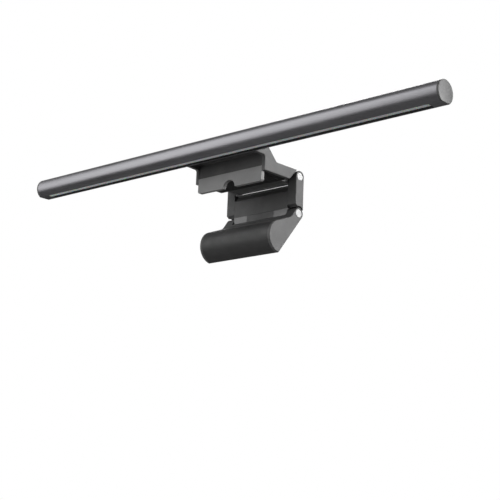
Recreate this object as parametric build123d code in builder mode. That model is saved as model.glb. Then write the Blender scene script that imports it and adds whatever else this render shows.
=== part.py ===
from build123d import *
import os
from math import acos, asin, cos, degrees, radians, sin, sqrt

os.makedirs("parts", exist_ok=True)

# A lamp bar on a clamp that hangs on the top edge of a screen, over a two-hinge counterweight.
# X runs along the bar, -Y faces the user, +Z is up. The origin is the middle of the rest pad's
# underside, which sits on the screen's top edge. All sizes are in millimetres and degrees.

# ---- bar ----
bar_length = 450.0
bar_diameter = 19.0
bar_flat_drop = 8.0  # bar axis down to the flat underside
bar_wall = 1.2
bar_forward = 33.0  # bar axis in front of the origin
bar_height = 21.7  # bar axis above the origin
end_cap_thickness = 1.8
end_cap_spigot = 5.0
window_end_margin = 12.0  # plain flat left at each end of the light window
diffuser_width = 4.1
shield_width = 4.2
window_plate = 1.2
board_thickness = 1.0
led_pitch = 10.0
led_size = (3.0, 2.8, 0.7)

# ---- clamp bracket ----
clamp_width = 79.0
cheek_wall = 3.3
skin = 2.0
arm_thickness = 10.0  # also the hinge knuckles' diameter and the link's thickness
pad_proud = 0.5  # rest pad below the bracket's cheeks
bracket_setback = 16.5  # bar axis back to the cheeks' front edges
cradle_rise = 5.5  # how far the cradle climbs the back of the bar
cradle_cover = 4.7  # bar surface to the sloping back, measured square to the slope
cheek_cut_angle = 47.7
cheek_cut_gap = 1.35
hook_thickness = 3.4
hook_drop = 8.1
hook_height = 12.8
hook_corner = 2.0
webcam_notch_radius = 6.5
hook_pad_thickness = 0.6
pad_thickness = 1.0
rest_pad_size = (60.0, 24.0)
edge_chamfer = 0.4  # along the outlines of the clamp's outer side faces

# ---- hinges and link ----
hinge_behind = 28.5  # hinge axes behind the origin
hinge_spacing = 32.0
ear_width = 9.1  # an outer ear of a hinge, at each end of the clamp's width
ear_side_gap = 0.2
knuckle_gap = 1.5
barrel_length = 15.0
pin_diameter = 6.0
pin_head_diameter = 7.0
pin_head_flat = 3.0  # hinge axis to the flat that keys an upper pin in its ear
pin_recess = 0.3
running_gap = 0.03

# ---- counterweight arm ----
arm_reach = 33.2  # lower hinge axis to the counterweight's axis
arm_rest_angle = 47.3  # how far the arm points below level, towards the user
weight_diameter = 27.6
weight_flat = 7.2  # counterweight axis to its flat back
weight_shell = 1.4
sleeve_thickness = 1.2
side_plate = 2.6
arm_front_angle = 53.6
arm_top_angle = 21.0

# ---- fits ----
slide_gap = 0.05  # between pieces that are slipped together
seat_gap = 0.1
thread_gap = 0.02

bar_radius = bar_diameter / 2
bar_inner = bar_radius - bar_wall
bar_y = -bar_forward
bar_z = bar_height
flat_z = bar_z - bar_flat_drop
tube_half = bar_length / 2 - end_cap_thickness
window_half = bar_length / 2 - window_end_margin
window_width = diffuser_width + shield_width + 2 * slide_gap
window_front = bar_y - window_width / 2 - 0.2

hinge_radius = arm_thickness / 2
arm_bottom = pad_proud
arm_top = arm_bottom + arm_thickness
upper_hinge = (hinge_behind, arm_bottom + hinge_radius)
lower_hinge = (hinge_behind, arm_bottom + hinge_radius - hinge_spacing)
clamp_half = clamp_width / 2
inner_half = clamp_half - cheek_wall
ear_inner = clamp_half - ear_width
knuckle_half = ear_inner - ear_side_gap
bracket_front = bar_y + bracket_setback

SIDES = (("left", -1), ("right", 1))


def across(x=0.0):
    """Plane square to the bar at x; its sketch coordinates are Y and Z."""
    return Plane(origin=(x, 0, 0), x_dir=(0, 1, 0), z_dir=(1, 0, 0))


def polar(centre, distance, angle):
    """Point in a cross-section, at an angle in degrees up from +Y."""
    return (
        centre[0] + distance * cos(radians(angle)),
        centre[1] + distance * sin(radians(angle)),
    )


def draw_bar_section(radius, drop):
    """Circle round the bar's axis with a flat cut off below it."""
    with Locations((bar_y, bar_z)):
        Circle(radius)
    with Locations((bar_y, bar_z - drop)):
        Rectangle(2 * radius, radius, align=(Align.CENTER, Align.MAX), mode=Mode.SUBTRACT)


# =====================================================================================
# Bar
# =====================================================================================

# Extruded tube with its flat underside, two ledges for the LED board, the long light window,
# the touch window's slot on top and two screw holes in its back wall.
led_board_drop = 3.0  # bar axis down to the top of the LED board
led_board_top = bar_z - led_board_drop
led_board_half = sqrt(bar_inner**2 - (led_board_drop + board_thickness) ** 2) - 0.9
bar_screw_x = 20.0
screw_diameter = 2.5
screw_head = (4.4, 1.0)  # diameter and height
head_sides = 16
shank_sides = 8
touch_half = 30.0
touch_width = 7.0

with BuildPart() as bar_tube:
    with BuildSketch(across(-tube_half)):
        draw_bar_section(bar_radius, bar_flat_drop)
        with BuildSketch(across(-tube_half), mode=Mode.SUBTRACT):
            draw_bar_section(bar_inner, bar_flat_drop - bar_wall)
        with BuildSketch(across(-tube_half)):
            for ledge_z in (led_board_top + slide_gap, led_board_top - board_thickness - slide_gap - 0.8):
                with Locations((bar_y, ledge_z)):
                    Rectangle(2 * bar_radius, 0.8, align=(Align.CENTER, Align.MIN))
                    Rectangle(
                        2 * (led_board_half - 0.6), 0.8, align=(Align.CENTER, Align.MIN), mode=Mode.SUBTRACT
                    )
            with Locations((bar_y, bar_z)):
                Circle(bar_radius - bar_wall / 2, mode=Mode.INTERSECT)
    extrude(amount=2 * tube_half)
    with BuildSketch(Plane.XY.offset(flat_z)):
        with Locations((0, window_front)):
            Rectangle(2 * window_half, window_width, align=(Align.CENTER, Align.MIN))
    extrude(amount=bar_wall, mode=Mode.SUBTRACT)
    with BuildSketch(Plane.XY.offset(bar_z)):
        with Locations((0, bar_y)):
            Rectangle(2 * touch_half + 2 * slide_gap, touch_width + 2 * slide_gap)
    extrude(amount=bar_radius, mode=Mode.SUBTRACT)
    with BuildSketch(Plane.XZ.offset(-bar_y)):
        with Locations((-bar_screw_x, bar_z), (bar_screw_x, bar_z)):
            Circle(screw_diameter / 2 + slide_gap)
    extrude(amount=-bar_radius, mode=Mode.SUBTRACT)
bar_tube.part.label = "bar_tube"
export_step(bar_tube.part, "parts/bar_tube.step")

# End caps: a thin disc of the bar's own section on a half-round spigot over the LED board.
for name, side in SIDES:
    with BuildPart() as end_cap:
        with BuildSketch(across(side * tube_half)):
            draw_bar_section(bar_radius, bar_flat_drop)
        extrude(amount=side * end_cap_thickness)
        with BuildSketch(across(side * tube_half)):
            draw_bar_section(bar_inner - seat_gap, bar_flat_drop - bar_wall - seat_gap)
            with Locations((bar_y, led_board_top - board_thickness / 2)):
                Rectangle(2 * bar_radius, board_thickness + 1.9, mode=Mode.SUBTRACT)
            with Locations((bar_y, bar_z)):
                Rectangle(2 * bar_radius, bar_radius, align=(Align.CENTER, Align.MAX), mode=Mode.SUBTRACT)
        extrude(amount=-side * end_cap_spigot)
    end_cap.part.label = f"end_cap_{name}"
    export_step(end_cap.part, f"parts/end_cap_{name}.step")

# Milky diffuser strip in the front half of the light window.
with BuildPart() as diffuser:
    with BuildSketch(across(0)):
        with Locations((window_front + slide_gap, flat_z + seat_gap)):
            Rectangle(diffuser_width - slide_gap, window_plate + 0.4, align=(Align.MIN, Align.MIN))
    extrude(amount=window_half - slide_gap, both=True)
diffuser.part.label = "diffuser"
export_step(diffuser.part, "parts/diffuser.step")

# Black shield in the rear half, with the wall that keeps the light off the screen.
shield_front = window_front + slide_gap + diffuser_width
with BuildPart() as glare_shield:
    with BuildSketch(across(0)):
        with Locations((shield_front, flat_z + seat_gap)):
            Rectangle(shield_width, window_plate - 0.2, align=(Align.MIN, Align.MIN))
            Rectangle(0.9, bar_flat_drop - 5.2, align=(Align.MIN, Align.MIN))
    extrude(amount=window_half - slide_gap, both=True)
glare_shield.part.label = "glare_shield"
export_step(glare_shield.part, "parts/glare_shield.step")

# Aluminium-core board held between the tube's ledges, its LEDs facing down over the diffuser.
board_half_length = tube_half - end_cap_spigot - 2.0
with BuildPart() as led_board:
    with BuildSketch(Plane.XY.offset(led_board_top - board_thickness)):
        with Locations((0, bar_y)):
            Rectangle(2 * board_half_length, 2 * led_board_half)
    extrude(amount=board_thickness)
led_board.part.label = "led_board"
export_step(led_board.part, "parts/led_board.step")

led_count = int(2 * (window_half - led_pitch) / led_pitch)
with BuildPart() as leds:
    with BuildSketch(Plane.XY.offset(led_board_top - board_thickness)):
        with Locations((0, window_front + diffuser_width / 2)):
            with GridLocations(led_pitch, 1, led_count, 1):
                Rectangle(led_size[0], led_size[1])
    extrude(amount=-led_size[2])
leds.part.label = "leds"
export_step(leds.part, "parts/leds.step")

# Touch window, curved like the tube it fills, and the control board under it.
with BuildPart() as touch_window:
    with BuildSketch(across(0)):
        draw_bar_section(bar_radius, bar_flat_drop)
        with BuildSketch(across(0), mode=Mode.SUBTRACT):
            draw_bar_section(bar_inner, bar_flat_drop - bar_wall)
        with Locations((bar_y, bar_z)):
            Rectangle(touch_width, bar_radius, align=(Align.CENTER, Align.MIN), mode=Mode.INTERSECT)
    extrude(amount=touch_half, both=True)
touch_window.part.label = "touch_window"
export_step(touch_window.part, "parts/touch_window.step")

control_board_z = bar_z + 4.4
with BuildPart() as control_board:
    with BuildSketch(Plane.XY.offset(control_board_z)):
        with Locations((0, bar_y)):
            Rectangle(2 * touch_half + 20, 10)
    extrude(amount=board_thickness)
    with BuildSketch(Plane.XY.offset(control_board_z)):
        with Locations((-18, bar_y), (4, bar_y), (24, bar_y)):
            Rectangle(7, 5)
    extrude(amount=-1.2)
control_board.part.label = "control_board"
export_step(control_board.part, "parts/control_board.step")

# Threaded bar inside the tube's back wall; the bracket's screws pull the tube against it.
anchor_front = 4.9
with BuildPart() as anchor_block:
    with BuildSketch(across(0)):
        with Locations((bar_y, bar_z)):
            Circle(bar_inner - slide_gap)
        with Locations((bar_y + anchor_front, bar_z - 2.0)):
            Rectangle(bar_radius, 5.6, align=(Align.MIN, Align.MIN), mode=Mode.INTERSECT)
    extrude(amount=bar_screw_x + 8, both=True)
    with BuildSketch(Plane.XZ.offset(-bar_y)):
        with Locations((-bar_screw_x, bar_z), (bar_screw_x, bar_z)):
            Circle(screw_diameter / 2)
    extrude(amount=-bar_radius, mode=Mode.SUBTRACT)
anchor_block.part.label = "anchor_block"
export_step(anchor_block.part, "parts/anchor_block.step")

# =====================================================================================
# Clamp bracket
# =====================================================================================

# One moulding: two side cheeks, a cradle for the back of the bar, a sloping back and a flat arm
# that ends in the upper hinge's knuckle. It is open below and in front, and closed by covers.
seat_radius = bar_radius + slide_gap
slope_sum = (bar_radius + cradle_cover) * sqrt(2)  # (y - bar_y) + (z - bar_z) on the slope
head_top = bar_z + cradle_rise
knee_y = bar_y + slope_sum + bar_z - arm_top
wing_z = flat_z - 0.4
cavity_rear = 15.0
cavity_top = arm_top - skin
cradle_wall = 3.0
cradle_underside = bar_z - 3.4
cut_start = polar(upper_hinge, hinge_radius + cheek_cut_gap, 90 + cheek_cut_angle)
cut_run = 3 * arm_thickness

pin_bore_depth = 14.0
boss_x = 24.0
boss_front_y = 2.0
cover_screws_at = [(side * boss_x, boss_front_y) for side in (-1, 1)]
cover_plate = 2.2
foot_bottom = arm_bottom + cover_plate + slide_gap
foot_thickness = 1.6
foot_rear = boss_front_y + 4.0
port_size = (9.0, 3.3)
port_length = 7.4
port_x = -20.0
port_drop = 6.4  # bar axis down to the middle of the port's mouth, which lies on the slope
port_plane = Plane(
    origin=(port_x, bar_y + slope_sum + port_drop, bar_z - port_drop),
    x_dir=(1, 0, 0),
    z_dir=(0, 1, 1),
)

with BuildPart() as bracket_body:
    with BuildSketch(across(0)) as bracket_outline:
        with BuildLine():
            cradle_end = (bar_y + sqrt(seat_radius**2 - cradle_rise**2), head_top)
            wing_tip = (bar_y + sqrt(seat_radius**2 - bar_flat_drop**2), flat_z)
            ThreePointArc(cradle_end, (bar_y + seat_radius, bar_z), wing_tip)
            Polyline(wing_tip, (bracket_front, wing_z), (bracket_front, arm_bottom), (hinge_behind, arm_bottom))
            knuckle_back = (hinge_behind + hinge_radius, upper_hinge[1])
            ThreePointArc((hinge_behind, arm_bottom), knuckle_back, (hinge_behind, arm_top))
            slope_top = (bar_y + slope_sum - cradle_rise, head_top)
            Polyline((hinge_behind, arm_top), (knee_y, arm_top), slope_top, cradle_end)
        make_face()
        outline_corners = bracket_outline.vertices()
        fillet(outline_corners.sort_by_distance((bracket_front, wing_z))[0], radius=2.0)
        fillet(bracket_outline.vertices().sort_by_distance((knee_y, arm_top))[0], radius=2.5)
        fillet(bracket_outline.vertices().sort_by_distance(slope_top)[0], radius=1.5)
    extrude(amount=clamp_half, both=True)
    # Hollow between the cheeks.
    with BuildSketch(across(0)):
        inner_sum = slope_sum - skin * sqrt(2)
        wall_y = bar_y + bar_radius + cradle_wall
        pocket_top = bar_z + inner_sum - (wall_y - bar_y) - 1.0
        with BuildLine():
            Polyline(
                (bar_y, cradle_underside),
                (wall_y, cradle_underside),
                (wall_y, pocket_top),
                (wall_y + 1.0, pocket_top),
                (bar_y + inner_sum + bar_z - cavity_top, cavity_top),
                (cavity_rear, cavity_top),
                (cavity_rear, arm_bottom - 1),
                (bar_y, arm_bottom - 1),
                close=True,
            )
        make_face()
    extrude(amount=inner_half, both=True, mode=Mode.SUBTRACT)
    # Screw bosses under the arm's top skin, standing on the hook's foot.
    boss_bottom = foot_bottom + foot_thickness + slide_gap
    with BuildSketch(Plane.XY.offset(boss_bottom)):
        with Locations(*cover_screws_at):
            Circle(2.8)
    extrude(amount=arm_top - 0.6 - boss_bottom)
    with BuildSketch(Plane.XY.offset(arm_bottom)):
        with Locations(*cover_screws_at):
            Circle(screw_diameter / 2)
    extrude(amount=arm_thickness - 1.6, mode=Mode.SUBTRACT)
    # Room for the link's ears, behind a slanted cut.
    for side in (-1, 1):
        with BuildSketch(across(side * ear_inner)):
            with BuildLine():
                cut_top = polar(cut_start, cut_run, cheek_cut_angle)
                cut_bottom = polar(cut_start, cut_run, 180 + cheek_cut_angle)
                Polyline(cut_bottom, cut_top, (cut_top[0] + cut_run, cut_bottom[1]), close=True)
            make_face()
        extrude(amount=side * (ear_width + 1), mode=Mode.SUBTRACT)
        # The knuckle stops a little short of each ear, and is bored for its pin.
        with BuildSketch(across(side * knuckle_half)):
            with Locations(upper_hinge):
                Rectangle(3 * hinge_radius, 3 * hinge_radius)
            with BuildLine():
                Polyline(cut_bottom, cut_top, (cut_bottom[0], cut_top[1]), close=True)
            make_face(mode=Mode.SUBTRACT)
        extrude(amount=side * ear_side_gap, mode=Mode.SUBTRACT)
        with BuildSketch(across(side * knuckle_half)):
            with Locations(upper_hinge):
                Circle(pin_diameter / 2 + running_gap)
        extrude(amount=-side * pin_bore_depth, mode=Mode.SUBTRACT)
    # Screw holes through the cradle, and the power socket's port in the slope.
    with BuildSketch(Plane.XZ.offset(-bar_y)):
        with Locations((-bar_screw_x, bar_z), (bar_screw_x, bar_z)):
            Circle(screw_diameter / 2 + slide_gap)
    extrude(amount=-(bar_radius + cradle_wall + 1), mode=Mode.SUBTRACT)
    with BuildSketch(port_plane):
        RectangleRounded(port_size[0] + 2 * slide_gap, port_size[1] + 2 * slide_gap, port_size[1] / 2)
    extrude(amount=-2 * skin, mode=Mode.SUBTRACT)
    for side in (-1, 1):
        end_face = bracket_body.faces().filter_by(Axis.X).sort_by(Axis.X)[0 if side < 0 else -1]
        chamfer(end_face.outer_wire().edges(), length=edge_chamfer)
bracket_body.part.label = "bracket_body"
export_step(bracket_body.part, "parts/bracket_body.step")

# Dark front cover between the cheeks, from the hook up and over to the bar's cradle.
hook_top = hook_height - hook_drop
cover_front = bracket_front + 0.5
with BuildPart() as front_cover:
    with BuildSketch(across(0)):
        with Locations((cover_front, hook_top + seat_gap)):
            cover_rise = cradle_underside - hook_top - 2 * seat_gap
            Rectangle(1.6, cover_rise, align=(Align.MIN, Align.MIN))
            Rectangle(2.6, 1.2, align=(Align.MIN, Align.MIN))
        with Locations((bar_y + bar_radius + seat_gap, cradle_underside - seat_gap)):
            roof_reach = bracket_setback + 0.5 - bar_radius
            Rectangle(roof_reach, 1.6, align=(Align.MIN, Align.MAX))
    extrude(amount=inner_half - seat_gap, both=True)
front_cover.part.label = "front_cover"
export_step(front_cover.part, "parts/front_cover.step")

# Hook: a folded plate. Its lip hangs over the front of the screen, with a half-round notch that
# leaves a webcam free, and its foot is clamped under the arm.
with BuildPart() as hook_plate:
    with BuildSketch(across(0)):
        with Locations((bracket_front, -hook_drop)):
            Rectangle(hook_thickness, hook_height, align=(Align.MIN, Align.MIN))
        with Locations((bracket_front, foot_bottom)):
            Rectangle(foot_rear - bracket_front, foot_thickness, align=(Align.MIN, Align.MIN))
    extrude(amount=inner_half - seat_gap, both=True)
    with BuildSketch(Plane.XZ.offset(-bracket_front)):
        with Locations((0, -hook_drop)):
            Circle(webcam_notch_radius)
    extrude(amount=-hook_thickness, mode=Mode.SUBTRACT)
    lip_corners = hook_plate.edges().filter_by(Axis.Y).group_by(Axis.Z)[0].sort_by(Axis.X)
    fillet([lip_corners[0], lip_corners[-1]], radius=hook_corner)
    with BuildSketch(Plane.XY.offset(foot_bottom)):
        with Locations(*cover_screws_at):
            Circle(screw_diameter / 2 + slide_gap)
    extrude(amount=foot_thickness, mode=Mode.SUBTRACT)
hook_plate.part.label = "hook_plate"
export_step(hook_plate.part, "parts/hook_plate.step")

# Rubber pad behind the hook's lip, cut round the notch.
with BuildPart() as hook_pad:
    with BuildSketch(Plane.XZ.offset(-(bracket_front + hook_thickness))):
        with Locations((0, -hook_drop + 0.8)):
            Rectangle(2 * inner_half - 4, hook_drop - 1.0, align=(Align.CENTER, Align.MIN))
        with Locations((0, -hook_drop)):
            Circle(webcam_notch_radius + 0.8, mode=Mode.SUBTRACT)
    extrude(amount=-hook_pad_thickness)
hook_pad.part.label = "hook_pad"
export_step(hook_pad.part, "parts/hook_pad.step")

# Rubber pad that rests on the screen's top edge, let into the cover over the arm's hollow.
with BuildPart() as rest_pad:
    with BuildSketch(Plane.XY):
        RectangleRounded(rest_pad_size[0], rest_pad_size[1], 2.0)
    extrude(amount=pad_thickness)
rest_pad.part.label = "rest_pad"
export_step(rest_pad.part, "parts/rest_pad.step")

cover_start = bracket_front + hook_thickness + seat_gap
with BuildPart() as underside_cover:
    with BuildSketch(Plane.XY.offset(arm_bottom)):
        with Locations((0, cover_start)):
            cover_length = cavity_rear - seat_gap - cover_start
            Rectangle(2 * (inner_half - seat_gap), cover_length, align=(Align.CENTER, Align.MIN))
    extrude(amount=cover_plate)
    with BuildSketch(Plane.XY.offset(arm_bottom)):
        RectangleRounded(rest_pad_size[0] + 2 * slide_gap, rest_pad_size[1] + 2 * slide_gap, 2.0)
    extrude(amount=pad_thickness - pad_proud, mode=Mode.SUBTRACT)
    with BuildSketch(Plane.XY.offset(pad_thickness)):
        with Locations(*cover_screws_at):
            Circle(screw_head[0] / 2 + slide_gap)
    extrude(amount=screw_head[1], mode=Mode.SUBTRACT)
    with BuildSketch(Plane.XY.offset(arm_bottom)):
        with Locations(*cover_screws_at):
            Circle(screw_diameter / 2 + slide_gap)
    extrude(amount=cover_plate, mode=Mode.SUBTRACT)
underside_cover.part.label = "underside_cover"
export_step(underside_cover.part, "parts/underside_cover.step")

# Two screws under the rest pad hold the cover and clamp the hook's foot.
with BuildPart() as cover_screws:
    with BuildSketch(Plane.XY.offset(pad_thickness)):
        with Locations(*cover_screws_at):
            RegularPolygon(screw_head[0] / 2, head_sides)
    extrude(amount=screw_head[1])
    with BuildSketch(Plane.XY.offset(pad_thickness)):
        with Locations(*cover_screws_at):
            RegularPolygon(screw_diameter / 2 - thread_gap, shank_sides)
    extrude(amount=arm_top - skin - pad_thickness)
cover_screws.part.label = "cover_screws"
export_step(cover_screws.part, "parts/cover_screws.step")

# Two screws from inside the head, through the cradle and the tube, into the anchor block.
with BuildPart() as bar_screws:
    with BuildSketch(Plane.XZ.offset(-(bar_y + bar_radius + cradle_wall))):
        with Locations((-bar_screw_x, bar_z), (bar_screw_x, bar_z)):
            RegularPolygon(screw_head[0] / 2, head_sides)
    extrude(amount=-screw_head[1])
    with BuildSketch(Plane.XZ.offset(-(bar_y + bar_radius + cradle_wall))):
        with Locations((-bar_screw_x, bar_z), (bar_screw_x, bar_z)):
            RegularPolygon(screw_diameter / 2 - thread_gap, shank_sides)
    extrude(amount=cradle_wall + bar_wall + 2.6)
bar_screws.part.label = "bar_screws"
export_step(bar_screws.part, "parts/bar_screws.step")

# Power socket in the sloping back: a drawn shell with a contact tongue, on its board.
with BuildPart() as usb_socket:
    with BuildSketch(port_plane):
        RectangleRounded(port_size[0], port_size[1], port_size[1] / 2 - 0.05)
    extrude(amount=-port_length)
    with BuildSketch(port_plane):
        RectangleRounded(port_size[0] - 0.8, port_size[1] - 0.8, port_size[1] / 2 - 0.45)
    extrude(amount=-(port_length - 1.0), mode=Mode.SUBTRACT)
    with BuildSketch(port_plane.offset(-port_length + 0.5)):
        Rectangle(6.7, 0.7)
    extrude(amount=port_length - 1.5)
usb_socket.part.label = "usb_socket"
export_step(usb_socket.part, "parts/usb_socket.step")

board_plane = Plane(
    origin=port_plane.origin + port_plane.y_dir * (port_size[1] / 2 + slide_gap),
    x_dir=(1, 0, 0),
    z_dir=port_plane.y_dir,
)
with BuildPart() as power_board:
    with BuildSketch(board_plane):
        with Locations((5, skin + 0.3)):
            Rectangle(38, 7.7, align=(Align.CENTER, Align.MIN))
    extrude(amount=board_thickness)
    with BuildSketch(board_plane):
        with Locations((10, 6), (18, 6)):
            Rectangle(5.5, 5)
    extrude(amount=-1.8)
power_board.part.label = "power_board"
export_step(power_board.part, "parts/power_board.step")

# =====================================================================================
# Upper hinge and link
# =====================================================================================

# Link between the hinges: two ears at the top for the upper pins, a knuckle at the bottom with
# pockets for the torque hinges, and a recessed front for its cover.
link_front = hinge_behind - hinge_radius
link_rear = hinge_behind + hinge_radius
rim_clearance = 1.55  # bracket's knuckle down to the link's rim
rim_setback = 2.5
rim_slope_start = 2.0  # rim down to where its front starts to slope forward
rim_slope_drop = 3.9
link_cover_thickness = 2.0
rim_z = upper_hinge[1] - hinge_radius - rim_clearance
link_cover_top = rim_z - rim_slope_start - rim_slope_drop
ear_notch = (7.7, 6.1, 2.4)  # heights over the lower hinge and depth of the ears' front relief
link_cover_bottom = lower_hinge[1] + hinge_radius
barrel_inner = knuckle_half - barrel_length
barrel_top = lower_hinge[1] + hinge_radius
stem_size = (8.9, 5.0, 6.3)  # along X, along Y, and up into the link
link_screw_x = (barrel_inner + knuckle_half) / 2
link_screws_at = [(side * link_screw_x, barrel_top + 3.3) for side in (-1, 1)]

with BuildPart() as link_frame:
    with BuildSketch(across(0)):
        with Locations(upper_hinge, lower_hinge):
            Circle(hinge_radius)
        with Locations((hinge_behind, lower_hinge[1])):
            Rectangle(arm_thickness, hinge_spacing, align=(Align.CENTER, Align.MIN))
    extrude(amount=clamp_half, both=True)
    # Space for the bracket's knuckle, and the rim that slopes back below it.
    with BuildSketch(across(0)):
        with Locations((hinge_behind, rim_z)):
            Rectangle(arm_thickness + 2, 3 * hinge_radius, align=(Align.CENTER, Align.MIN))
        with BuildLine():
            Polyline(
                (link_front - 1, link_cover_top),
                (link_front, link_cover_top),
                (link_front + rim_setback, rim_z - rim_slope_start),
                (link_front + rim_setback, rim_z + 1),
                (link_front - 1, rim_z + 1),
                close=True,
            )
        make_face()
        with Locations((link_front, link_cover_bottom)):
            recess_rise = link_cover_top - link_cover_bottom
            Rectangle(2 * link_cover_thickness, recess_rise, align=(Align.CENTER, Align.MIN))
    extrude(amount=ear_inner, both=True, mode=Mode.SUBTRACT)
    for side in (-1, 1):
        # The arm's ears turn under the link's outer ends.
        with BuildSketch(across(side * knuckle_half)):
            with Locations(lower_hinge):
                Circle(hinge_radius + knuckle_gap - 0.3)
                Rectangle(3 * hinge_radius, 2 * hinge_radius, align=(Align.CENTER, Align.MAX))
            with BuildLine():
                notch_slope = (ear_notch[0] - ear_notch[1]) / ear_notch[2]
                Polyline(
                    (link_front - 1, lower_hinge[1] + ear_notch[0] + notch_slope),
                    (link_front + ear_notch[2], lower_hinge[1] + ear_notch[1]),
                    (link_front + ear_notch[2], lower_hinge[1]),
                    (link_front - 1, lower_hinge[1]),
                    close=True,
                )
            make_face()
        extrude(amount=side * (ear_width + 1), mode=Mode.SUBTRACT)
        # Pockets for a torque hinge and its stem.
        with BuildSketch(across(side * barrel_inner)):
            with Locations((hinge_behind, barrel_top + slide_gap)):
                Rectangle(arm_thickness + 2, 3 * hinge_radius, align=(Align.CENTER, Align.MAX))
        extrude(amount=side * (barrel_length + ear_side_gap), mode=Mode.SUBTRACT)
        with BuildSketch(Plane.XY.offset(barrel_top)):
            with Locations((side * link_screw_x, hinge_behind)):
                Rectangle(stem_size[0] + 2 * slide_gap, stem_size[1] + 2 * slide_gap)
        extrude(amount=stem_size[2] + seat_gap, mode=Mode.SUBTRACT)
        # D-shaped holes that key the upper pins.
        with BuildSketch(across(side * clamp_half)):
            with Locations(upper_hinge):
                Circle(pin_head_diameter / 2 + slide_gap)
            with Locations((hinge_behind, upper_hinge[1] - pin_head_flat - slide_gap)):
                Rectangle(
                    arm_thickness, hinge_radius, align=(Align.CENTER, Align.MAX), mode=Mode.SUBTRACT
                )
        extrude(amount=-side * ear_width, mode=Mode.SUBTRACT)
    # Screw holes from the rear.
    with BuildSketch(Plane.XZ.offset(-link_rear)):
        with Locations(*link_screws_at):
            Circle(screw_head[0] / 2 + slide_gap)
    extrude(amount=screw_head[1] + 0.4, mode=Mode.SUBTRACT)
    with BuildSketch(Plane.XZ.offset(-link_rear)):
        with Locations(*link_screws_at):
            Circle(screw_diameter / 2 + slide_gap)
    extrude(amount=arm_thickness, mode=Mode.SUBTRACT)
    for side in (-1, 1):
        end_face = link_frame.faces().filter_by(Axis.X).sort_by(Axis.X)[0 if side < 0 else -1]
        chamfer(end_face.outer_wire().edges(), length=edge_chamfer)
link_frame.part.label = "link_frame"
export_step(link_frame.part, "parts/link_frame.step")

with BuildPart() as link_cover:
    with BuildSketch(Plane.XZ.offset(-(link_front + link_cover_thickness - slide_gap))):
        with Locations((0, link_cover_bottom + seat_gap)):
            cover_height = link_cover_top - link_cover_bottom - seat_gap
            Rectangle(2 * (ear_inner - seat_gap), cover_height, align=(Align.CENTER, Align.MIN))
    extrude(amount=link_cover_thickness - slide_gap)
    with BuildSketch(Plane.XZ.offset(-(link_front + link_cover_thickness))):
        with Locations(*link_screws_at):
            Circle(screw_diameter / 2)
    extrude(amount=link_cover_thickness - 0.8, mode=Mode.SUBTRACT)
link_cover.part.label = "link_cover"
export_step(link_cover.part, "parts/link_cover.step")

# Torque hinges: friction barrels that hold the arm at any angle, each fixed by a stem and screw.
for name, side in SIDES:
    with BuildPart() as torque_hinge:
        with BuildSketch(across(side * (barrel_inner + slide_gap))):
            with Locations(lower_hinge):
                Circle(hinge_radius)
                Rectangle(arm_thickness, barrel_top - lower_hinge[1], align=(Align.CENTER, Align.MIN))
        extrude(amount=side * (barrel_length - slide_gap))
        with BuildSketch(Plane.XY.offset(barrel_top - 1)):
            with Locations((side * link_screw_x, hinge_behind)):
                Rectangle(stem_size[0], stem_size[1])
        extrude(amount=stem_size[2] + 1)
        with BuildSketch(across(side * barrel_inner)):
            with Locations(lower_hinge):
                Circle(pin_diameter / 2 + running_gap)
        extrude(amount=side * (barrel_length + 1), mode=Mode.SUBTRACT)
        with BuildSketch(Plane.XZ.offset(-link_rear)):
            with Locations((side * link_screw_x, barrel_top + 3.3)):
                Circle(screw_diameter / 2 + slide_gap)
        extrude(amount=arm_thickness, mode=Mode.SUBTRACT)
    torque_hinge.part.label = f"torque_hinge_{name}"
    export_step(torque_hinge.part, f"parts/torque_hinge_{name}.step")

with BuildPart() as link_screws:
    with BuildSketch(Plane.XZ.offset(-(link_rear - screw_head[1] - 0.4 + slide_gap))):
        with Locations(*link_screws_at):
            RegularPolygon(screw_head[0] / 2, head_sides)
    extrude(amount=-screw_head[1])
    with BuildSketch(Plane.XZ.offset(-(link_rear - 1.0))):
        with Locations(*link_screws_at):
            RegularPolygon(screw_diameter / 2 - thread_gap, shank_sides)
    extrude(amount=arm_thickness - 2.0)
link_screws.part.label = "link_screws"
export_step(link_screws.part, "parts/link_screws.step")

# Upper pins: a D-shaped end keyed in the link's ear, and a shank that turns in the knuckle.
pin_outer = clamp_half - pin_recess
for name, side in SIDES:
    with BuildPart() as upper_pin:
        with BuildSketch(across(side * pin_outer)):
            with Locations(upper_hinge):
                Circle(pin_head_diameter / 2)
            with Locations((hinge_behind, upper_hinge[1] - pin_head_flat)):
                Rectangle(
                    arm_thickness, hinge_radius, align=(Align.CENTER, Align.MAX), mode=Mode.SUBTRACT
                )
        extrude(amount=-side * (pin_outer - ear_inner - seat_gap))
        with BuildSketch(across(side * pin_outer)):
            with Locations(upper_hinge):
                Circle(pin_diameter / 2)
        extrude(amount=-side * (pin_outer - knuckle_half + pin_bore_depth - 0.5))
    upper_pin.part.label = f"upper_pin_{name}"
    export_step(upper_pin.part, f"parts/upper_pin_{name}.step")

# =====================================================================================
# Counterweight arm
# =====================================================================================

weight_radius = weight_diameter / 2
weight_axis = polar(lower_hinge, arm_reach, 180 + arm_rest_angle)
back_angle = 270 + arm_rest_angle + degrees(asin((weight_flat - hinge_radius) / arm_reach))
foot_angle = back_angle - degrees(acos(weight_flat / weight_radius))
body_half = clamp_half - side_plate - slide_gap
arm_middle_gap = hinge_radius + 1.0  # lower hinge axis to the arm between its ears
sleeve_start = 90 + arm_top_angle + 1.0
sleeve_end = foot_angle - 2.5


def crossing(a, a_angle, b, b_angle):
    """Point where two lines meet, each given by a point and a direction."""
    turn = sin(radians(b_angle - a_angle))
    across_run = (b[0] - a[0]) * sin(radians(b_angle)) - (b[1] - a[1]) * cos(radians(b_angle))
    return polar(a, across_run / turn, a_angle)


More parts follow.
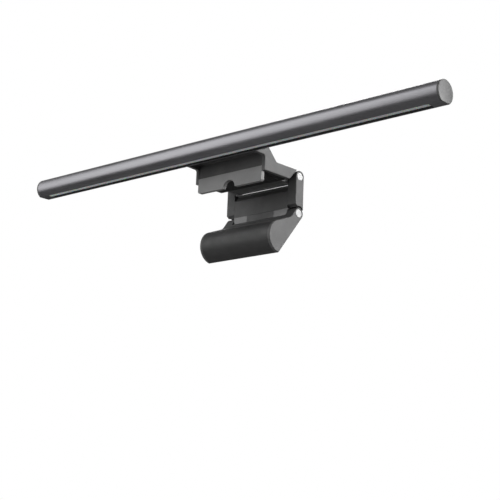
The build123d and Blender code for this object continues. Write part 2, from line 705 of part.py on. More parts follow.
def draw_arm_outline():
    """Side view of the arm: knuckle, concave top, round counterweight and flat back."""
    knuckle_rear = polar(lower_hinge, hinge_radius, back_angle)
    knuckle_front = polar(lower_hinge, hinge_radius, 90 + arm_front_angle)
    knuckle_far = polar(lower_hinge, hinge_radius, (back_angle + 90 + arm_front_angle - 360) / 2)
    round_start = polar(weight_axis, weight_radius, 90 + arm_top_angle)
    round_middle = polar(weight_axis, weight_radius, (90 + arm_top_angle + foot_angle) / 2)
    round_end = polar(weight_axis, weight_radius, foot_angle)
    bend = crossing(knuckle_front, 180 + arm_front_angle, round_start, arm_top_angle)
    with BuildLine() as outline:
        ThreePointArc(knuckle_rear, knuckle_far, knuckle_front)
        FilletPolyline(knuckle_front, bend, round_start, radius=8.0)
        ThreePointArc(round_start, round_middle, round_end)
        Line(round_end, knuckle_rear)
    make_face(outline.edges())


def draw_sector(inner, outer, start, end, mode=Mode.ADD):
    """Part of a ring round the counterweight's axis."""
    middle = (start + end) / 2
    with BuildLine() as outline:
        ThreePointArc(*[polar(weight_axis, outer, a) for a in (start, middle, end)])
        Line(polar(weight_axis, outer, end), polar(weight_axis, inner, end))
        ThreePointArc(*[polar(weight_axis, inner, a) for a in (end, middle, start)])
        Line(polar(weight_axis, inner, start), polar(weight_axis, outer, start))
    make_face(outline.edges(), mode=mode)


def draw_weight(gap):
    """D-shaped section of the steel bar, or with a gap of the pocket that holds it."""
    inset = weight_shell - gap
    with BuildLine() as outline:
        radius = weight_radius - sleeve_thickness - inset
        flat = weight_flat - inset
        half_turn = degrees(acos(flat / radius))
        ends = [polar(weight_axis, radius, back_angle + t) for t in (half_turn, 180, 360 - half_turn)]
        ThreePointArc(*ends)
        Line(ends[2], ends[0])
    make_face(outline.edges())


# Arm moulding, with the weight's pocket along it and keyed holes in its two ears.
with BuildPart() as arm_body:
    with BuildSketch(across(0)):
        draw_arm_outline()
        draw_sector(
            weight_radius - sleeve_thickness,
            weight_radius + 1,
            sleeve_start - 0.3,
            sleeve_end + 0.3,
            mode=Mode.SUBTRACT,
        )
    extrude(amount=body_half, both=True)
    with BuildSketch(across(0)):
        draw_weight(slide_gap)
    extrude(amount=body_half + 1, both=True, mode=Mode.SUBTRACT)
    # Between the ears the arm stops short of the link's knuckle.
    with BuildSketch(across(0)):
        with BuildLine():
            end_middle = polar(lower_hinge, arm_middle_gap, 180 + arm_rest_angle)
            end_low = polar(end_middle, 3 * hinge_radius, 270 + arm_rest_angle)
            end_high = polar(end_middle, 3 * hinge_radius, 90 + arm_rest_angle)
            beyond = 4 * hinge_radius
            far_low = polar(end_low, beyond, arm_rest_angle)
            far_high = polar(end_high, beyond, arm_rest_angle)
            Polyline(end_low, end_high, far_high, far_low, close=True)
        make_face()
    extrude(amount=ear_inner, both=True, mode=Mode.SUBTRACT)
    for side in (-1, 1):
        with BuildSketch(across(side * body_half)):
            with Locations(lower_hinge):
                Circle(pin_head_diameter / 2 + slide_gap)
            with Locations((hinge_behind, lower_hinge[1] - pin_head_flat - slide_gap)):
                Rectangle(
                    arm_thickness, hinge_radius, align=(Align.CENTER, Align.MAX), mode=Mode.SUBTRACT
                )
        extrude(amount=-side * ear_width, mode=Mode.SUBTRACT)
arm_body.part.label = "arm_body"
export_step(arm_body.part, "parts/arm_body.step")

# Steel bar that makes the weight, shut in by the end plates.
with BuildPart() as weight_bar:
    with BuildSketch(across(0)):
        draw_weight(0.0)
    extrude(amount=body_half - seat_gap, both=True)
weight_bar.part.label = "weight_bar"
export_step(weight_bar.part, "parts/weight_bar.step")

# Soft sleeve round the counterweight's front, which leans on the back of the screen.
with BuildPart() as contact_sleeve:
    with BuildSketch(across(0)):
        draw_sector(weight_radius - sleeve_thickness + slide_gap, weight_radius, sleeve_start, sleeve_end)
    extrude(amount=body_half - seat_gap, both=True)
contact_sleeve.part.label = "contact_sleeve"
export_step(contact_sleeve.part, "parts/contact_sleeve.step")

# End plates of the arm, with a clear ring round each pin.
for name, side in SIDES:
    with BuildPart() as arm_side:
        with BuildSketch(across(side * (clamp_half - side_plate))):
            draw_arm_outline()
            with Locations(lower_hinge):
                Circle(pin_head_diameter / 2 + 0.25, mode=Mode.SUBTRACT)
        extrude(amount=side * side_plate)
        end_face = arm_side.faces().filter_by(Axis.X).sort_by(Axis.X)[0 if side < 0 else -1]
        chamfer(end_face.outer_wire().edges(), length=edge_chamfer)
    arm_side.part.label = f"arm_side_{name}"
    export_step(arm_side.part, f"parts/arm_side_{name}.step")

# Lower pins: keyed in the arm's ears, turning in the torque hinges.
for name, side in SIDES:
    with BuildPart() as lower_pin:
        with BuildSketch(across(side * pin_outer)):
            with Locations(lower_hinge):
                Circle(pin_head_diameter / 2)
        extrude(amount=-side * (pin_outer - body_half))
        with BuildSketch(across(side * body_half)):
            with Locations(lower_hinge):
                Circle(pin_head_diameter / 2)
            with Locations((hinge_behind, lower_hinge[1] - pin_head_flat)):
                Rectangle(
                    arm_thickness, hinge_radius, align=(Align.CENTER, Align.MAX), mode=Mode.SUBTRACT
                )
        extrude(amount=-side * (body_half - ear_inner - seat_gap))
        with BuildSketch(across(side * body_half)):
            with Locations(lower_hinge):
                Circle(pin_diameter / 2)
        extrude(amount=-side * (body_half - barrel_inner - 0.5))
    lower_pin.part.label = f"lower_pin_{name}"
    export_step(lower_pin.part, f"parts/lower_pin_{name}.step")
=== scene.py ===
from math import cos, pi, radians, sin

import bmesh
import bpy
from mathutils import Matrix, Vector


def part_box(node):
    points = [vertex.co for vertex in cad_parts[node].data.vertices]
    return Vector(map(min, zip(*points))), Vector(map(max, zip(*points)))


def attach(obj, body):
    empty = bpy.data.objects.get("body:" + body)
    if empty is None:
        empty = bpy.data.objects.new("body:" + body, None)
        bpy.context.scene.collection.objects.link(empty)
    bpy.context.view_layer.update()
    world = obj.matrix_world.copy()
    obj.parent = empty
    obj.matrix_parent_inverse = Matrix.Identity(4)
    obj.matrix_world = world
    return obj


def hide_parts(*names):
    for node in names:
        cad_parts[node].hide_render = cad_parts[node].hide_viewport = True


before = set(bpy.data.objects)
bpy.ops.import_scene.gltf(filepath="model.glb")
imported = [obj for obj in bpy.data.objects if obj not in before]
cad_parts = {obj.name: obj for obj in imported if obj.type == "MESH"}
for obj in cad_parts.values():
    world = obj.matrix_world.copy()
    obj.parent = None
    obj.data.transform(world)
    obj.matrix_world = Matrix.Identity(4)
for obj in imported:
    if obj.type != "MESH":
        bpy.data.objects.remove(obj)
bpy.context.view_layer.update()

# Camera. A long lens in front of the lamp, to its right and below it, looking up and along the
# bar, so the underside of the bar and the inside of the clamp both show.
camera_place = (0.695, -0.743, -0.2943)
heading, rise, tilt = radians(42.61), radians(13.07), radians(2.21)
looking = Vector((-sin(heading) * cos(rise), cos(heading) * cos(rise), sin(rise)))
right = Vector((cos(heading), sin(heading), 0))
over = right.cross(looking)
camera_right = right * cos(tilt) + over * sin(tilt)
camera_up = over * cos(tilt) - right * sin(tilt)
camera_turn = Matrix((camera_right, camera_up, -looking)).transposed()

camera_data = bpy.data.cameras.new("camera")
camera_data.lens = 90.23
camera_data.sensor_width = 36
camera_data.clip_start = 0.02
camera = bpy.data.objects.new("camera", camera_data)
camera.matrix_world = Matrix.Translation(camera_place) @ camera_turn.to_4x4()
bpy.context.scene.collection.objects.link(camera)
bpy.context.scene.camera = camera

# Floor. Pale paper well below the lamp, which hangs in the air as it would on a screen. It looks
# pale but throws little light up, so the dark clamp keeps its depth, and it is clear from below.
floor_half, floor_z = 40, -0.62
floor_turns = ((-1, -1), (1, -1), (1, 1), (-1, 1))
floor_corners = [(x * floor_half, y * floor_half, floor_z) for x, y in floor_turns]
floor_mesh = bpy.data.meshes.new("floor")
floor_mesh.from_pydata(floor_corners, [], [(0, 1, 2, 3)])
floor = bpy.data.objects.new("floor", floor_mesh)
bpy.context.scene.collection.objects.link(floor)


def add_node(tree, kind, inputs=None, **settings):
    """A shader node. Its inputs are found by name or number, and take a value or a socket."""
    node = tree.nodes.new(kind)
    for name, value in settings.items():
        setattr(node, name, value)
    for name, value in (inputs or {}).items():
        if isinstance(value, bpy.types.NodeSocket):
            tree.links.new(value, node.inputs[name])
        else:
            node.inputs[name].default_value = value
    return node


white = (1, 1, 1, 1)
paper = bpy.data.materials.new("pale_paper")
paper.use_nodes = True
tree = paper.node_tree
tree.nodes.clear()
fibres = add_node(tree, "ShaderNodeTexNoise", {"Scale": 60.0, "Detail": 4.0})
shade = add_node(tree, "ShaderNodeMapRange", {
    "Value": fibres.outputs["Fac"], "To Min": 0.86, "To Max": 0.9,
})
lit = add_node(tree, "ShaderNodeBsdfDiffuse", {"Color": shade.outputs["Result"]})
glow = add_node(tree, "ShaderNodeEmission", {"Color": white, "Strength": 0.62})
seen = add_node(tree, "ShaderNodeAddShader", {0: lit.outputs[0], 1: glow.outputs[0]})
thrown = add_node(tree, "ShaderNodeBsdfDiffuse", {"Color": (0.16, 0.16, 0.16, 1)})
path = add_node(tree, "ShaderNodeLightPath")
from_above = add_node(tree, "ShaderNodeMixShader", {
    "Fac": path.outputs["Is Camera Ray"], 1: thrown.outputs[0], 2: seen.outputs[0],
})
facing = add_node(tree, "ShaderNodeNewGeometry")
clear = add_node(tree, "ShaderNodeBsdfTransparent")
one_way = add_node(tree, "ShaderNodeMixShader", {
    "Fac": facing.outputs["Backfacing"], 1: from_above.outputs[0], 2: clear.outputs[0],
})
add_node(tree, "ShaderNodeOutputMaterial", {"Surface": one_way.outputs[0]})
floor_mesh.materials.append(paper)

# Room. It shows plain white, but gives the lamp only a weak fill, a little stronger from overhead
# than from the sides.
world = bpy.data.worlds.new("white_room")
world.use_nodes = True
tree = world.node_tree
tree.nodes.clear()
walls = add_node(tree, "ShaderNodeBackground", {"Color": white, "Strength": 1.0})
direction = add_node(tree, "ShaderNodeTexCoord")
up_down = add_node(tree, "ShaderNodeSeparateXYZ", {"Vector": direction.outputs["Generated"]})
fill = add_node(tree, "ShaderNodeMapRange", {
    "Value": up_down.outputs["Z"], "From Min": -0.4, "From Max": 0.9, "To Min": 0.1, "To Max": 0.22,
})
dim = add_node(tree, "ShaderNodeBackground", {"Color": white, "Strength": fill.outputs["Result"]})
path = add_node(tree, "ShaderNodeLightPath")
room = add_node(tree, "ShaderNodeMixShader", {
    "Fac": path.outputs["Is Camera Ray"], 1: dim.outputs[0], 2: walls.outputs[0],
})
add_node(tree, "ShaderNodeOutputWorld", {"Surface": room.outputs[0]})
bpy.context.scene.world = world
bpy.context.scene.view_settings.view_transform = "Standard"


# Softboxes. A tall one in front and to the left draws the broad sheen along the bar, and one at
# the right lights the clamp's side faces. The others keep the front, back and underside readable.
def softbox(name, place, size, power, glossy=True):
    data = bpy.data.lights.new(name, "AREA")
    data.shape = "RECTANGLE"
    data.size, data.size_y = size
    data.energy = power
    light = bpy.data.objects.new(name, data)
    bpy.context.scene.collection.objects.link(light)
    light.visible_camera = False
    light.visible_glossy = glossy
    place = Vector(place)
    aim = (-place).to_track_quat("-Z", "Y").to_matrix()
    light.matrix_world = Matrix.Translation(place) @ aim.to_4x4()


softbox("front_left", (-1.0, -0.98, 0.58), (1.1, 1.7), 10.0)
softbox("front", (0.2, -1.5, 0.3), (0.7, 0.7), 3.0)
softbox("right_side", (1.35, 0.55, 0.3), (0.9, 0.9), 26.0)
softbox("behind", (-0.6, 1.4, 0.9), (1.2, 0.8), 20.0)
softbox("below_left", (-0.9, -0.35, -0.55), (0.8, 0.8), 7.0, glossy=False)


# Bar tube. Extruded aluminium, blasted to a fine matt grain and anodised space grey. The saw and
# the end mill leave its cut edges slightly brighter, and the die leaves faint lines along it.
def new_group(name, inputs, outputs):
    group = bpy.data.node_groups.new(name, "ShaderNodeTree")
    for label, value in inputs.items():
        kind = "NodeSocketColor" if isinstance(value, tuple) else "NodeSocketFloat"
        group.interface.new_socket(label, in_out="INPUT", socket_type=kind).default_value = value
    for label, kind in outputs.items():
        group.interface.new_socket(label, in_out="OUTPUT", socket_type="NodeSocket" + kind)
    return group, group.nodes.new("NodeGroupInput").outputs


def close_group(group, **results):
    end = group.nodes.new("NodeGroupOutput")
    for label, socket in results.items():
        group.links.new(socket, end.inputs[label])


def spread(group, socket, low, high, bottom=0.0, top=1.0):
    """Stretches the part of a pattern between low and high to run from bottom to top."""
    return add_node(group, "ShaderNodeMapRange", {
        "Value": socket, "From Min": low, "From Max": high, "To Min": bottom, "To Max": top,
    }).outputs["Result"]


def combine(group, operation, one, other):
    return add_node(group, "ShaderNodeMath", {0: one, 1: other}, operation=operation).outputs[0]


def noise(group, place, scale, **values):
    inputs = {"Vector": place, "Scale": scale, **values}
    return add_node(group, "ShaderNodeTexNoise", inputs).outputs["Fac"]


def tint(group, colour, one, other):
    """A colour made lighter and darker by two patterns."""
    inputs = {0: colour, "Scale": combine(group, "MULTIPLY", one, other)}
    return add_node(group, "ShaderNodeVectorMath", inputs, operation="SCALE").outputs[0]


# Rounds every edge for the light, and finds the edges that handling rubs first.
worn_edges, given = new_group(
    "worn_edges", {"Radius": 0.0003}, {"Normal": "Vector", "Wear": "Float"},
)
edge_bevel = add_node(worn_edges, "ShaderNodeBevel", {"Radius": given["Radius"]}, samples=6)
rounded = edge_bevel.outputs["Normal"]
flat = add_node(worn_edges, "ShaderNodeNewGeometry").outputs["Normal"]
likeness = add_node(
    worn_edges, "ShaderNodeVectorMath", {0: rounded, 1: flat}, operation="DOT_PRODUCT",
).outputs["Value"]
place = add_node(worn_edges, "ShaderNodeTexCoord").outputs["Object"]
patches = noise(worn_edges, place, 260.0, Detail=5.0, Roughness=0.65)
wear = combine(
    worn_edges, "MULTIPLY",
    spread(worn_edges, likeness, 0.995, 0.8), spread(worn_edges, patches, 0.42, 0.62),
)
close_group(worn_edges, Normal=rounded, Wear=wear)

# Skin of blasted or plated metal: crisp small pits, die lines along X and a broad drift of tone.
blasted, given = new_group(
    "blasted_skin",
    {"Colour": (0.3, 0.3, 0.3, 1), "Roughness": 0.35, "Grain": 4200.0, "Lines": 0.5},
    {"Colour": "Color", "Roughness": "Float", "Height": "Float"},
)
place = add_node(blasted, "ShaderNodeTexCoord").outputs["Object"]
pits = noise(blasted, place, given["Grain"], Detail=2.0, Roughness=0.6)
drawn_out = add_node(blasted, "ShaderNodeMapping", {
    "Vector": place, "Scale": (3.0, 1500.0, 1500.0),
}).outputs[0]
die_lines = noise(blasted, drawn_out, 1.0, Detail=3.0)
drift = noise(blasted, place, 22.0, Detail=3.0, Roughness=0.55)
height = combine(blasted, "ADD", pits, combine(blasted, "MULTIPLY", die_lines, given["Lines"]))
toned = tint(
    blasted, given["Colour"],
    spread(blasted, height, 0.4, 1.1, 0.88, 1.12), spread(blasted, drift, 0.3, 0.7, 0.95, 1.05),
)
roughness = combine(
    blasted, "MULTIPLY", spread(blasted, drift, 0.3, 0.7, 0.9, 1.12), given["Roughness"],
)
close_group(blasted, Colour=toned, Roughness=roughness, Height=height)


def finish_of(name, skin, skin_values, bright, relief, edge=0.0003, **constants):
    """A material from one skin group, with the edges rounded and rubbed towards a bright tone."""
    material = bpy.data.materials.new(name)
    material.use_nodes = True
    tree = material.node_tree
    shader = tree.nodes["Principled BSDF"]
    skin_node = add_node(tree, "ShaderNodeGroup", skin_values, node_tree=skin)
    edges = add_node(tree, "ShaderNodeGroup", {"Radius": edge}, node_tree=worn_edges)
    colour_a, colour_b, colour_result = 6, 7, 2
    colour = add_node(tree, "ShaderNodeMix", {
        "Factor": edges.outputs["Wear"],
        colour_a: skin_node.outputs["Colour"], colour_b: (*bright, 1),
    }, data_type="RGBA")
    bump = add_node(tree, "ShaderNodeBump", {
        "Height": skin_node.outputs["Height"], "Normal": edges.outputs["Normal"],
        "Strength": 0.6, "Distance": relief,
    })
    tree.links.new(colour.outputs[colour_result], shader.inputs["Base Color"])
    tree.links.new(skin_node.outputs["Roughness"], shader.inputs["Roughness"])
    tree.links.new(bump.outputs[0], shader.inputs["Normal"])
    for label, value in constants.items():
        shader.inputs[label.replace("_", " ")].default_value = value
    return material


def dress(material, *nodes):
    """Gives CAD nodes one material."""
    for node in nodes:
        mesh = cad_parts[node].data
        mesh.materials.clear()
        mesh.materials.append(material)


anodised = finish_of(
    "anodised_space_grey", blasted,
    {"Colour": (0.3, 0.297, 0.313, 1), "Roughness": 0.36, "Grain": 4200.0, "Lines": 0.35},
    bright=(0.42, 0.42, 0.43), relief=0.00002, Metallic=1.0,
)
dress(anodised, "bar_tube")

# End caps. Grey moulded plastic with a fine spark-eroded matt, plugged into the tube's ends. Each
# has a soft corner all round its outer face, a little glossier where fingers push it home.
moulded, given = new_group(
    "moulded_skin",
    {"Colour": (0.1, 0.1, 0.1, 1), "Roughness": 0.5, "Grain": 3000.0},
    {"Colour": "Color", "Roughness": "Float", "Height": "Float"},
)
place = add_node(moulded, "ShaderNodeTexCoord").outputs["Object"]
cells = add_node(moulded, "ShaderNodeTexVoronoi", {
    "Vector": place, "Scale": given["Grain"], "Randomness": 1.0,
}, feature="SMOOTH_F1").outputs["Distance"]
crumbs = noise(moulded, place, given["Grain"], Detail=3.0, Roughness=0.7)
flow = noise(moulded, place, 45.0, Detail=3.0, Distortion=0.6)
handled = noise(moulded, place, 110.0, Detail=4.0, Roughness=0.6)
height = combine(moulded, "ADD", cells, crumbs)
toned = tint(
    moulded, given["Colour"],
    spread(moulded, height, 0.5, 1.4, 0.9, 1.1), spread(moulded, flow, 0.3, 0.7, 0.92, 1.08),
)
roughness = combine(
    moulded, "MULTIPLY", spread(moulded, handled, 0.38, 0.66, 1.1, 0.84), given["Roughness"],
)
close_group(moulded, Colour=toned, Roughness=roughness, Height=height)

cap_plastic = finish_of(
    "cap_plastic", moulded,
    {"Colour": (0.118, 0.118, 0.118, 1), "Roughness": 0.48, "Grain": 3400.0},
    bright=(0.2, 0.2, 0.2), relief=0.00004,
)


def finish_piece(bm, name, body, materials, node=None):
    """Turns a bmesh into a piece of the lamp that rides on a body, often in place of a CAD node."""
    join_distance, crease = 1e-7, radians(35)
    bmesh.ops.remove_doubles(bm, verts=bm.verts, dist=join_distance)
    bmesh.ops.recalc_face_normals(bm, faces=bm.faces)
    mesh = bpy.data.meshes.new(name)
    bm.to_mesh(mesh)
    bm.free()
    for material in materials:
        mesh.materials.append(material)
    mesh.shade_smooth()
    mesh.set_sharp_from_angle(angle=crease)
    piece = bpy.data.objects.new(name, mesh)
    bpy.context.scene.collection.objects.link(piece)
    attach(piece, body)
    if node:
        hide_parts(node)


def ease(bm, edges, width, segments):
    """Rounds some edges of a bmesh."""
    bmesh.ops.bevel(
        bm, geom=edges, offset=width, segments=segments, profile=0.5, affect="EDGES", material=-1,
    )


cap_lip = 0.0004
same_point, same_plane, flat_enough = 1e-6, 1e-5, radians(0.5)
for node, outward in (("end_cap_left", 0), ("end_cap_right", 1)):
    bm = bmesh.new()
    bm.from_mesh(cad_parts[node].data)
    bmesh.ops.remove_doubles(bm, verts=bm.verts, dist=same_point)
    bmesh.ops.dissolve_limit(bm, angle_limit=flat_enough, verts=bm.verts, edges=bm.edges)
    outer_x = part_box(node)[outward][0]
    rim = [e for e in bm.edges if all(abs(v.co.x - outer_x) < same_plane for v in e.verts)]
    ease(bm, rim, cap_lip, segments=3)
    finish_piece(bm, node + "_moulding", "root", [cap_plastic], node)

# Light window. A milky diffuser in the front half of the slot under the tube, and in the rear
# half a black shield with a wall on it, which keeps the light off the screen. Both are plastic
# strips let into the slot.
milky = finish_of(
    "milky_diffuser", moulded, {"Colour": (0.9, 0.9, 0.9, 1), "Roughness": 0.42, "Grain": 5200.0},
    bright=(0.93, 0.93, 0.93), relief=0.00001, Subsurface_Weight=0.3, Subsurface_Scale=0.002,
)
dress(milky, "diffuser")
shield_black = finish_of(
    "shield_black", moulded,
    {"Colour": (0.012, 0.012, 0.012, 1), "Roughness": 0.6, "Grain": 2600.0},
    bright=(0.03, 0.03, 0.03), relief=0.00005,
)
dress(shield_black, "glare_shield")

# Lamp board. An aluminium-core board on the tube's ledges, under white solder resist, with one
# row of white packages. Each has a sunken window of yellow phosphor that faces down.
resist_white = finish_of(
    "resist_white", moulded, {"Colour": (0.7, 0.71, 0.7, 1), "Roughness": 0.35, "Grain": 1800.0},
    bright=(0.5, 0.4, 0.25), relief=0.00002,
)
dress(resist_white, "led_board")
package_white = finish_of(
    "package_white", moulded, {"Colour": (0.8, 0.8, 0.78, 1), "Roughness": 0.28, "Grain": 4000.0},
    bright=(0.86, 0.86, 0.85), relief=0.00001, edge=0.0001,
)
phosphor = finish_of(
    "phosphor", moulded, {"Colour": (0.78, 0.6, 0.16, 1), "Roughness": 0.3, "Grain": 6000.0},
    bright=(0.85, 0.85, 0.82), relief=0.00001, edge=0.0002,
)
led_pitch, led_length = 0.010, 0.003
led_frame, led_slope, led_sink = 0.0004, 0.0001, 0.00015
low, high = (Vector(corner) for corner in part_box("leds"))
middle = (low + high) / 2
led_size = Matrix.Diagonal((led_length, high.y - low.y, high.z - low.z, 1))
led_count = round((high.x - low.x - led_length) / led_pitch) + 1
bm = bmesh.new()
for number in range(led_count):
    centre = Vector((low.x + led_length / 2 + number * led_pitch, middle.y, middle.z))
    package = bmesh.ops.create_cube(bm, size=1.0, matrix=Matrix.Translation(centre) @ led_size)
    faces = {face for corner in package["verts"] for face in corner.link_faces}
    window = min(faces, key=lambda face: face.calc_center_median().z)
    bmesh.ops.inset_individual(bm, faces=[window], thickness=led_frame)
    bmesh.ops.inset_individual(bm, faces=[window], thickness=led_slope, depth=-led_sink)
    window.material_index = 1
finish_piece(bm, "led_packages", "root", [package_white, phosphor], "leds")

# Touch window and control board. A glossy dark strip let into the top of the bar, and the small
# green board that feels the finger through it. The power board in the clamp is of the same kind.
touch_gloss = finish_of(
    "touch_gloss", moulded, {"Colour": (0.012, 0.012, 0.013, 1), "Roughness": 0.12, "Grain": 900.0},
    bright=(0.03, 0.03, 0.03), relief=0.000002, Coat_Weight=0.5, Coat_Roughness=0.06,
)
dress(touch_gloss, "touch_window")
resist_green = finish_of(
    "resist_green", moulded, {"Colour": (0.02, 0.1, 0.045, 1), "Roughness": 0.32, "Grain": 1500.0},
    bright=(0.4, 0.3, 0.12), relief=0.00003,
)
dress(resist_green, "control_board", "power_board")

# Marks on the touch window, printed in grey ink: an open ring with a stroke in its gap for the
# switch, and a dot on each side of it.
mark_ink = finish_of(
    "mark_ink", moulded, {"Colour": (0.5, 0.5, 0.5, 1), "Roughness": 0.5, "Grain": 2500.0},
    bright=(0.6, 0.6, 0.6), relief=0.000005,
)
line_radius, ring_radius, ring_sweep, ring_start = 0.0001, 0.0013, radians(290), radians(125)
stroke_size, stroke_y = (0.0002, 0.0014, 0.0002, 1), 0.001
dot_radius, dot_x, ink_sink = 0.0004, 0.014, 0.00002
bm = bmesh.new()
upright = Matrix.Rotation(pi / 2, 4, "X")
bmesh.ops.create_circle(
    bm, segments=4, radius=line_radius, matrix=Matrix.Translation((ring_radius, 0, 0)) @ upright,
)
bmesh.ops.spin(
    bm, geom=bm.verts[:] + bm.edges[:], axis=(0, 0, 1), cent=(0, 0, 0),
    angle=ring_sweep, steps=36, use_merge=False,
)
bmesh.ops.rotate(bm, verts=bm.verts, cent=(0, 0, 0), matrix=Matrix.Rotation(ring_start, 3, "Z"))
bmesh.ops.holes_fill(bm, edges=bm.edges)
stroke_place = Matrix.Translation((0, stroke_y, 0)) @ Matrix.Diagonal(stroke_size)
bmesh.ops.create_cube(bm, size=1.0, matrix=stroke_place)
for x in (-dot_x, dot_x):
    bmesh.ops.create_cone(
        bm, cap_ends=True, segments=20, radius1=dot_radius, radius2=dot_radius,
        depth=2 * line_radius, matrix=Matrix.Translation((x, 0, 0)),
    )
low, high = (Vector(corner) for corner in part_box("touch_window"))
middle = (low + high) / 2
bmesh.ops.translate(bm, verts=bm.verts, vec=(middle.x, middle.y, high.z - ink_sink))
finish_piece(bm, "touch_marks", "root", [mark_ink])

# Anchor block and screws. A zinc-plated steel bar inside the tube takes the blackened screws that
# hold the bar in the cradle, and two more such screws hold the cover under the arm.
zinc = finish_of(
    "zinc_plate", blasted,
    {"Colour": (0.5, 0.5, 0.48, 1), "Roughness": 0.3, "Grain": 1500.0, "Lines": 0.8},
    bright=(0.7, 0.7, 0.68), relief=0.00003, Metallic=1.0,
)
dress(zinc, "anchor_block")
black_steel = finish_of(
    "black_steel", blasted,
    {"Colour": (0.07, 0.07, 0.07, 1), "Roughness": 0.35, "Grain": 5000.0, "Lines": 0.1},
    bright=(0.35, 0.34, 0.33), relief=0.00002, edge=0.00015, Metallic=1.0,
)
dress(black_steel, "bar_screws", "cover_screws")

# Link screws. Their heads show at the back of the link: blackened cheese heads with a rounded rim
# and a hexagon socket, one through the stem of each torque hinge.
head_radius, head_height, head_lip = 0.0022, 0.001, 0.00025
socket_radius, socket_depth = 0.00085, 0.0007
shank_radius = 0.00123


def kind_of(made, kind):
    return [item for item in made["geom"] if isinstance(item, kind)]


low, high = (Vector(corner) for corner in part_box("link_screws"))
screw_length = high.y - low.y
bm = bmesh.new()
for side in (-1, 1):
    screw = bmesh.new()
    circle = bmesh.ops.create_circle(screw, segments=24, radius=head_radius)["verts"]
    hexagon = bmesh.ops.create_circle(screw, segments=6, radius=socket_radius)["verts"]
    socket_edges = list({edge for corner in hexagon for edge in corner.link_edges})
    rim = list({edge for corner in circle for edge in corner.link_edges})
    bmesh.ops.bridge_loops(screw, edges=rim + socket_edges)
    socket = bmesh.ops.extrude_edge_only(screw, edges=socket_edges)
    bmesh.ops.translate(screw, verts=kind_of(socket, bmesh.types.BMVert), vec=(0, 0, -socket_depth))
    bmesh.ops.contextual_create(screw, geom=kind_of(socket, bmesh.types.BMEdge))
    steps = ((head_height, 1), (0, shank_radius / head_radius), (screw_length - head_height, 1))
    for depth, narrowing in steps:
        step = bmesh.ops.extrude_edge_only(screw, edges=rim)
        corners, rim = kind_of(step, bmesh.types.BMVert), kind_of(step, bmesh.types.BMEdge)
        bmesh.ops.translate(screw, verts=corners, vec=(0, 0, -depth))
        bmesh.ops.scale(screw, verts=corners, vec=(narrowing, narrowing, 1))
    bmesh.ops.contextual_create(screw, geom=rim)
    lip = [
        edge for edge in screw.edges
        if all(abs(v.co.z) < same_point and v.co.xy.length > head_radius * 0.98 for v in edge.verts)
    ]
    ease(screw, lip, head_lip, segments=3)
    place = Vector((side * (high.x - head_radius), high.y, (low.z + high.z) / 2))
    screw.transform(Matrix.Translation(place) @ Matrix.Rotation(-pi / 2, 4, "X"))
    one_screw = bpy.data.meshes.new("one_screw")
    screw.to_mesh(one_screw)
    screw.free()
    bm.from_mesh(one_screw)
    bpy.data.meshes.remove(one_screw)
finish_piece(bm, "link_socket_screws", "link", [black_steel], "link_screws")

# Clamp bracket, link and arm. Mouldings of one dark grey plastic with the same fine matt, so the
# clamp reads as one body when it is folded.
bracket_grey = finish_of(
    "bracket_grey", moulded, {"Colour": (0.1, 0.1, 0.1, 1), "Roughness": 0.5, "Grain": 3000.0},
    bright=(0.13, 0.13, 0.13), relief=0.00005,
)
dress(bracket_grey, "bracket_body", "link_frame", "link_cover")
dress(bracket_grey, "arm_body", "arm_side_left", "arm_side_right")

# Covers. Near-black mouldings in a coarser matt: one between the cheeks in front, and one screwed
# over the hollow under the bracket's flat arm, with the rest pad let into it. The one underneath
# is coloured darker still, which is painted shade for the shadow under the arm.
panel_black = finish_of(
    "panel_black", moulded, {"Colour": (0.068, 0.068, 0.068, 1), "Roughness": 0.6, "Grain": 2400.0},
    bright=(0.09, 0.09, 0.09), relief=0.00006,
)
dress(panel_black, "front_cover")
# Its colour is darker than the front cover's. This is painted shade, because the underside sits in
# shadow.
under_black_painted_shade = finish_of(
    "under_black_painted_shade", moulded,
    {"Colour": (0.022, 0.022, 0.022, 1), "Roughness": 0.62, "Grain": 2400.0},
    bright=(0.05, 0.05, 0.05), relief=0.00006,
)
dress(under_black_painted_shade, "underside_cover")

# Hook plate. A stiff plate folded down in front of the screen, with a half-round notch for a
# webcam. It is a lighter grey than the bracket, and the cover's screws clamp its foot.
hook_grey = finish_of(
    "hook_grey", moulded, {"Colour": (0.235, 0.235, 0.235, 1), "Roughness": 0.42, "Grain": 3200.0},
    bright=(0.3, 0.3, 0.3), relief=0.00005,
)
dress(hook_grey, "hook_plate")

# Rubber pads. A thin one behind the hook's lip, and one on the screen's edge with grooves along
# it, so it grips a narrow bezel. Both are die-cut from soft black sheet and glued in.
rubber = finish_of(
    "black_rubber", moulded, {"Colour": (0.03, 0.03, 0.03, 1), "Roughness": 0.75, "Grain": 1900.0},
    bright=(0.05, 0.05, 0.05), relief=0.00008,
)
dress(rubber, "hook_pad")
rib_count, groove_depth, groove_share, pad_corner = 9, 0.00035, 0.3, 0.0018
low, high = (Vector(corner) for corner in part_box("rest_pad"))
rib_pitch = (high.y - low.y) / rib_count
outline = [(high.y, high.z), (low.y, high.z)]
for rib in range(rib_count):
    start = low.y + rib * rib_pitch
    finish = start + rib_pitch * (1 - groove_share)
    outline += [(start, low.z), (finish, low.z)]
    outline += [(finish, low.z + groove_depth), (start + rib_pitch, low.z + groove_depth)]
outline = outline[:-3] + [(high.y, low.z)]
bm = bmesh.new()
section = bm.faces.new([bm.verts.new((low.x, y, z)) for y, z in outline])
pushed = bmesh.ops.extrude_face_region(bm, geom=[section], use_keep_orig=True)
bmesh.ops.translate(bm, verts=kind_of(pushed, bmesh.types.BMVert), vec=(high.x - low.x, 0, 0))
uprights = [
    edge for edge in bm.edges
    if abs(edge.verts[0].co.z - edge.verts[1].co.z) > (high.z - low.z) * 0.9
    and min(abs(edge.verts[0].co.y - low.y), abs(edge.verts[0].co.y - high.y)) < same_point
]
ease(bm, uprights, pad_corner, segments=5)
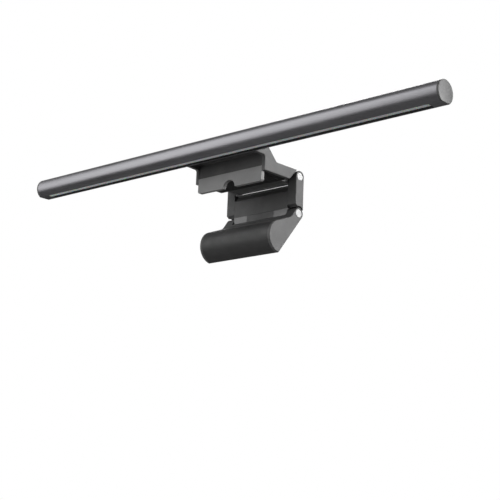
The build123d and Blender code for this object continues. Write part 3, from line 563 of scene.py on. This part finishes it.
finish_piece(bm, "rest_pad_ribbed", "root", [rubber], "rest_pad")

# Contact sleeve. A strip of soft dark rubber glued round the front of the counterweight, where it
# leans on the back of the screen.
sleeve_skin = finish_of(
    "sleeve_skin", moulded, {"Colour": (0.043, 0.043, 0.043, 1), "Roughness": 0.5, "Grain": 2800.0},
    bright=(0.09, 0.09, 0.09), relief=0.00005,
)
dress(sleeve_skin, "contact_sleeve")

# Power socket. A drawn steel shell round a contact tongue, nickel-plated, let into the sloping
# back and soldered to the power board.
nickel = finish_of(
    "nickel_plate", blasted,
    {"Colour": (0.62, 0.6, 0.56, 1), "Roughness": 0.22, "Grain": 2500.0, "Lines": 0.2},
    bright=(0.8, 0.78, 0.74), relief=0.00001, edge=0.00012, Metallic=1.0,
)
dress(nickel, "usb_socket")

# Torque hinges. Sintered steel barrels, satin grey with a fine open grain, screwed into pockets
# at the foot of the link.
sintered = finish_of(
    "sintered_steel", blasted,
    {"Colour": (0.2, 0.2, 0.2, 1), "Roughness": 0.42, "Grain": 2600.0, "Lines": 0.0},
    bright=(0.35, 0.35, 0.35), relief=0.00005, Metallic=0.8,
)
dress(sintered, "torque_hinge_left", "torque_hinge_right")

# Hinge pins. Turned steel, bright on the ends, keyed in the outer ears of the link and the arm so
# that they turn with them.
turned_steel = finish_of(
    "turned_steel", blasted,
    {"Colour": (0.47, 0.47, 0.47, 1), "Roughness": 0.34, "Grain": 3200.0, "Lines": 0.5},
    bright=(0.85, 0.85, 0.85), relief=0.00002, Metallic=1.0,
)
dress(turned_steel, "upper_pin_left", "upper_pin_right", "lower_pin_left", "lower_pin_right")

# Counterweight. A plain drawn steel bar with a flat on its back. It lies in a pocket along the
# arm, which the end plates shut.
plain_steel = finish_of(
    "plain_steel", blasted,
    {"Colour": (0.4, 0.39, 0.38, 1), "Roughness": 0.35, "Grain": 1200.0, "Lines": 1.0},
    bright=(0.55, 0.54, 0.53), relief=0.00004, Metallic=1.0,
)
dress(plain_steel, "weight_bar")
